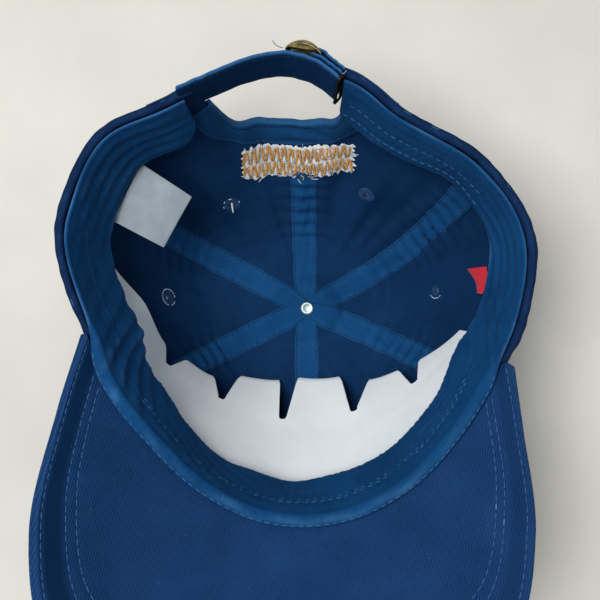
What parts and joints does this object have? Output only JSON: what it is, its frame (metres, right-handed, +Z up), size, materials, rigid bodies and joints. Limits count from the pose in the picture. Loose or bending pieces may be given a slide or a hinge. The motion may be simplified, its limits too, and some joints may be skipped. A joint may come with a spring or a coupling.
{
  "type": "baseball cap",
  "caption": "Navy cotton six-panel baseball cap with a curved bill and a brass-buckled cloth back strap, lying upside down on its crown.",
  "frame": {"origin": "middle of the flat outer face of the top button, on the surface the cap lies on", "axes": "+Z up into the open cap, +Y towards the back of the cap with the strap, -Y towards the bill, +X to the right of someone looking down into the cap with the bill towards them"},
  "size_m": [0.1905, 0.2608, 0.127],
  "materials": {
    "crown_cloth": "washed cotton twill",
    "tape_cloth": "folded cotton tape",
    "band_cloth": "cotton twill with stitch rows",
    "bill_cloth": "stiff cotton twill",
    "thread": "dense thread",
    "woven_label": "plain weave",
    "woven_tag": "plain weave",
    "card": "smooth white board",
    "steel": "polished",
    "brass": "worn antique brass"
  },
  "bodies": {
    "root": {"panel_back_right": "crown_cloth", "panel_back_left": "crown_cloth", "panel_side_left": "crown_cloth", "panel_front_left": "crown_cloth", "panel_front_right": "crown_cloth", "panel_side_right": "crown_cloth", "tape_right_back": "tape_cloth", "tape_back": "tape_cloth", "tape_left_back": "tape_cloth", "tape_left_front": "tape_cloth", "tape_front": "tape_cloth", "tape_right_front": "tape_cloth", "sweatband": "band_cloth", "bill_under": "bill_cloth", "bill_upper": "bill_cloth", "arch_binding": "tape_cloth", "top_button": "crown_cloth", "button_rivet": "steel", "eyelet_back_left": "thread", "eyelet_back_right": "thread", "eyelet_side_left": "thread", "eyelet_side_right": "thread", "eyelet_front_left": "thread", "eyelet_front_right": "thread", "crown_insert": "card", "side_label": "woven_label", "side_tag": "woven_tag", "embroidery_backing": "woven_label", "strap_long": "bill_cloth", "strap_short": "bill_cloth", "buckle_frame": "brass", "buckle_cover": "brass", "tuck_slot": "brass"}
  },
  "joints": []
}
